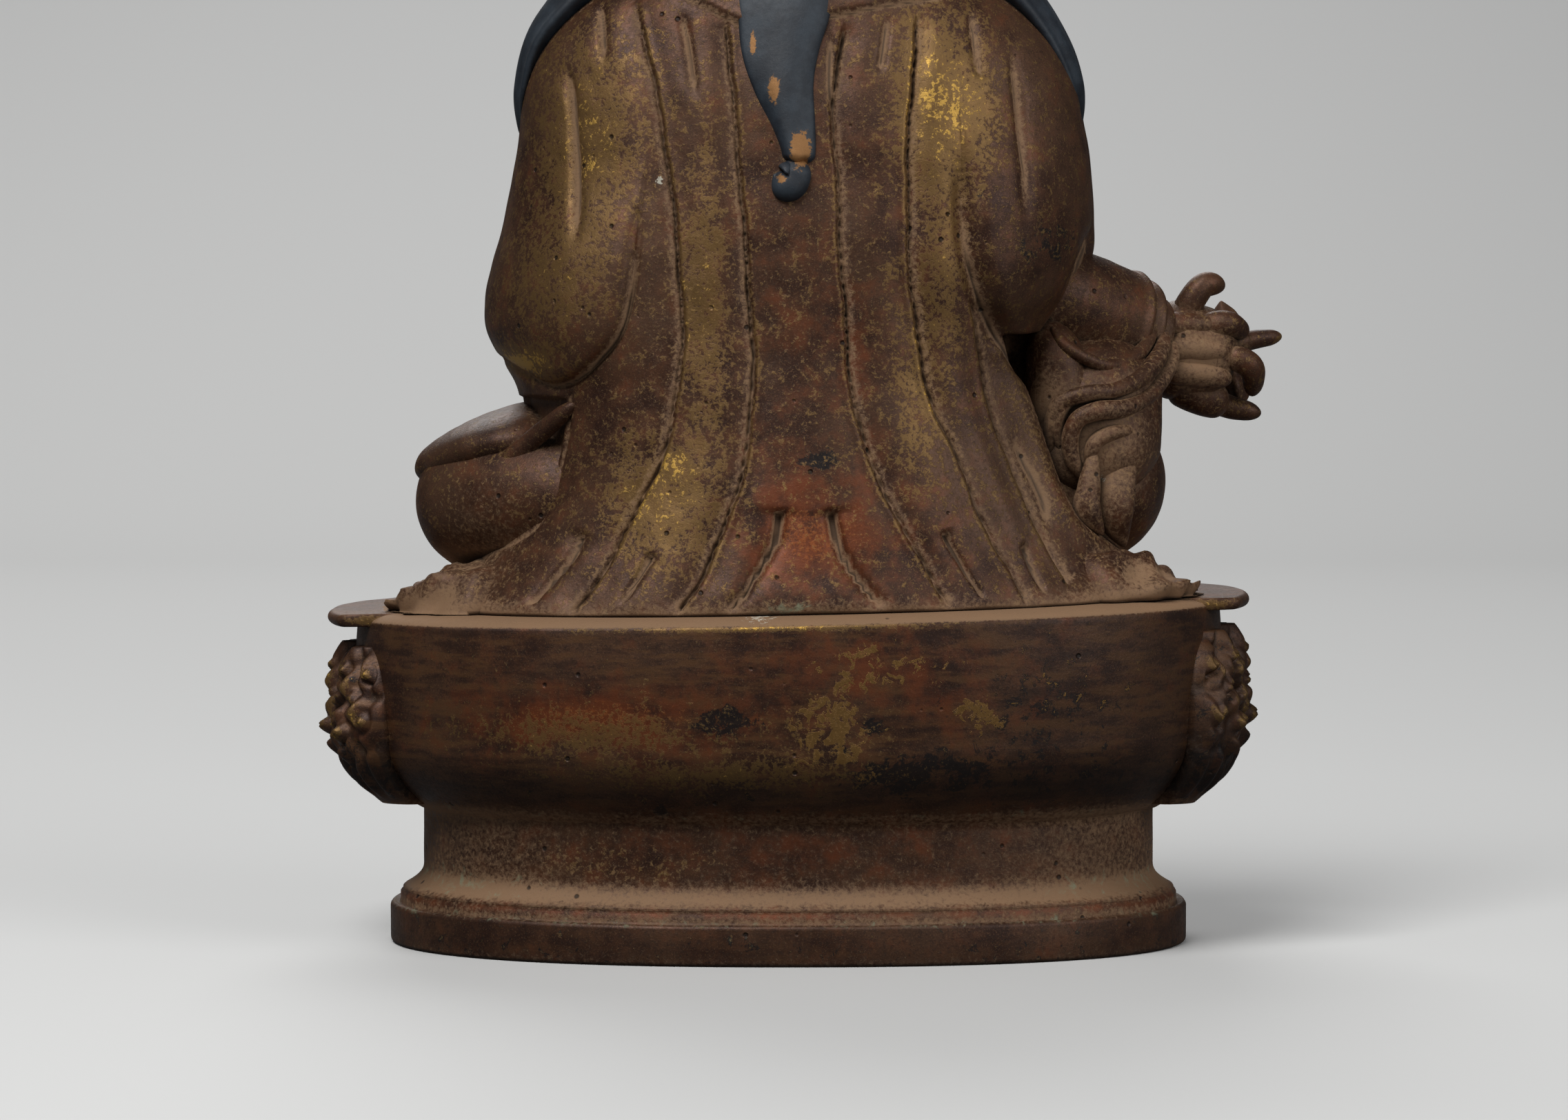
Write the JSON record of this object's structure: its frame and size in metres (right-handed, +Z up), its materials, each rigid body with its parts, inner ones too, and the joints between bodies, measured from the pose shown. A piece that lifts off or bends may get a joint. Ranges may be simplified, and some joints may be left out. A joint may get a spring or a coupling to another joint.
{
  "type": "guru rinpoche statue",
  "caption": "Seated guru figure in a pleated cloak and lotus hat, on an oval lotus throne with petals round the front.",
  "frame": {"origin": "middle of the throne's underside", "axes": "+Z up, the figure faces -Y, its left side is at +X"},
  "size_m": [0.0854, 0.0526, 0.1282],
  "materials": {
    "figure_metal": "dark oxidised patina with worn gilding",
    "throne_metal": "dark polished patina with worn gilding and dust",
    "plug_metal": "dark oxidised patina"
  },
  "bodies": {
    "root": {"figure": "figure_metal", "lotus_throne": "throne_metal", "core_pin_plug": "plug_metal"}
  },
  "joints": []
}
